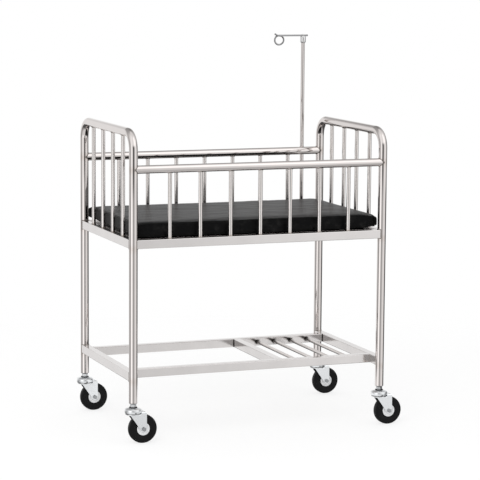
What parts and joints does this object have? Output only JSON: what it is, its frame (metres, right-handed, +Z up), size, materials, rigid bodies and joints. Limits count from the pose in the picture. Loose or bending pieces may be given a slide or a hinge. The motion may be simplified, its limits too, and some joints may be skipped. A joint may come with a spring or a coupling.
{
  "type": "pediatric hospital cot",
  "caption": "Wheeled stainless-steel cot for a small child: hooped ends, barred sides, thin mattress, lower shelf and a lift-out drip pole",
  "frame": {"origin": "on the floor, at the centre of the box round the whole cot at rest", "axes": "+Z up, +X towards the head end with the drip pole, +Y towards the back side that carries the pole"},
  "size_m": [1.032, 0.6234, 1.3667],
  "materials": {
    "frame_tube": "polished stainless tube, satin",
    "frame_bar": "polished stainless tube, satin",
    "frame_beam": "satin stainless box section",
    "shelf_rod": "satin",
    "deck_sheet": "plain sheet",
    "mattress_cover": "smooth wipe-clean cover",
    "pole_holder": "satin",
    "drip_pole": "polished",
    "hook_cap": "turned, polished",
    "hook_wire": "polished",
    "leg_plug": "turned insert, bright",
    "caster_zinc": "bright zinc plated",
    "caster_steel": "zinc plated",
    "dust_seal": "matt",
    "wheel_hub": "moulded",
    "wheel_tyre": "matt"
  },
  "bodies": {
    "frame": {"foot_end_hoop": "frame_tube", "head_end_hoop": "frame_tube", "foot_end_bars": "frame_bar", "head_end_bars": "frame_bar", "front_side_rail": "frame_tube", "back_side_rail": "frame_tube", "front_rail_bars": "frame_bar", "back_rail_bars": "frame_bar", "deck_front_beam": "frame_beam", "deck_back_beam": "frame_beam", "deck_foot_beam": "frame_beam", "deck_head_beam": "frame_beam", "shelf_foot_beam": "frame_beam", "shelf_head_beam": "frame_beam", "shelf_front_beam": "frame_beam", "shelf_back_beam": "frame_beam", "shelf_cross_beam": "frame_beam", "shelf_rods": "shelf_rod", "deck_sheet": "deck_sheet", "deck_bearers": "deck_sheet", "pole_foot_cup": "pole_holder", "pole_guide": "pole_holder", "leg_plugs": "leg_plug", "caster_stems": "caster_steel", "stem_lock_nuts": "caster_steel", "dust_seals": "dust_seal", "swivel_ball_rings": "caster_steel"},
    "mattress": {"mattress": "mattress_cover"},
    "drip_pole": {"drip_pole": "drip_pole"},
    "drip_hook_head": {"hook_cap": "hook_cap", "drip_hook": "hook_wire"},
    "front_foot_swivel": {"front_foot_fork": "caster_zinc", "front_foot_bearing_cup": "caster_zinc", "front_foot_axle_bolt": "caster_steel", "front_foot_axle_sleeve": "caster_steel"},
    "front_foot_wheel": {"front_foot_wheel_hub": "wheel_hub", "front_foot_tyre": "wheel_tyre"},
    "back_foot_swivel": {"back_foot_fork": "caster_zinc", "back_foot_bearing_cup": "caster_zinc", "back_foot_axle_bolt": "caster_steel", "back_foot_axle_sleeve": "caster_steel"},
    "back_foot_wheel": {"back_foot_wheel_hub": "wheel_hub", "back_foot_tyre": "wheel_tyre"},
    "front_head_swivel": {"front_head_fork": "caster_zinc", "front_head_bearing_cup": "caster_zinc", "front_head_axle_bolt": "caster_steel", "front_head_axle_sleeve": "caster_steel"},
    "front_head_wheel": {"front_head_wheel_hub": "wheel_hub", "front_head_tyre": "wheel_tyre"},
    "back_head_swivel": {"back_head_fork": "caster_zinc", "back_head_bearing_cup": "caster_zinc", "back_head_axle_bolt": "caster_steel", "back_head_axle_sleeve": "caster_steel"},
    "back_head_wheel": {"back_head_wheel_hub": "wheel_hub", "back_head_tyre": "wheel_tyre"}
  },
  "joints": [
    {"name": "mattress_lift", "type": "slide", "parent": "frame", "child": "mattress", "axis": [0, 0, 1], "range_m": [0, 0.45]},
    {"name": "drip_pole_lift", "type": "slide", "parent": "frame", "child": "drip_pole", "axis": [0, 0, 1], "range_m": [0, 0.3]},
    {"name": "hook_head_turn", "type": "hinge", "parent": "drip_pole", "child": "drip_hook_head", "pos_m": [0.369, 0.30125, 1.344], "axis": [0, 0, 1], "continuous": true},
    {"name": "front_foot_swivel_turn", "type": "hinge", "parent": "frame", "child": "front_foot_swivel", "pos_m": [-0.487, -0.28275, 0.112], "axis": [0, 0, 1], "continuous": true},
    {"name": "front_foot_wheel_spin", "type": "hinge", "parent": "front_foot_swivel", "child": "front_foot_wheel", "pos_m": [-0.454, -0.28275, 0.05], "axis": [0, 1, 0], "continuous": true},
    {"name": "back_foot_swivel_turn", "type": "hinge", "parent": "frame", "child": "back_foot_swivel", "pos_m": [-0.487, 0.27925, 0.112], "axis": [0, 0, 1], "continuous": true},
    {"name": "back_foot_wheel_spin", "type": "hinge", "parent": "back_foot_swivel", "child": "back_foot_wheel", "pos_m": [-0.454, 0.27925, 0.05], "axis": [0, 1, 0], "continuous": true},
    {"name": "front_head_swivel_turn", "type": "hinge", "parent": "frame", "child": "front_head_swivel", "pos_m": [0.433, -0.28275, 0.112], "axis": [0, 0, 1], "continuous": true},
    {"name": "front_head_wheel_spin", "type": "hinge", "parent": "front_head_swivel", "child": "front_head_wheel", "pos_m": [0.466, -0.28275, 0.05], "axis": [0, 1, 0], "continuous": true},
    {"name": "back_head_swivel_turn", "type": "hinge", "parent": "frame", "child": "back_head_swivel", "pos_m": [0.433, 0.27925, 0.112], "axis": [0, 0, 1], "continuous": true},
    {"name": "back_head_wheel_spin", "type": "hinge", "parent": "back_head_swivel", "child": "back_head_wheel", "pos_m": [0.466, 0.27925, 0.05], "axis": [0, 1, 0], "continuous": true}
  ]
}
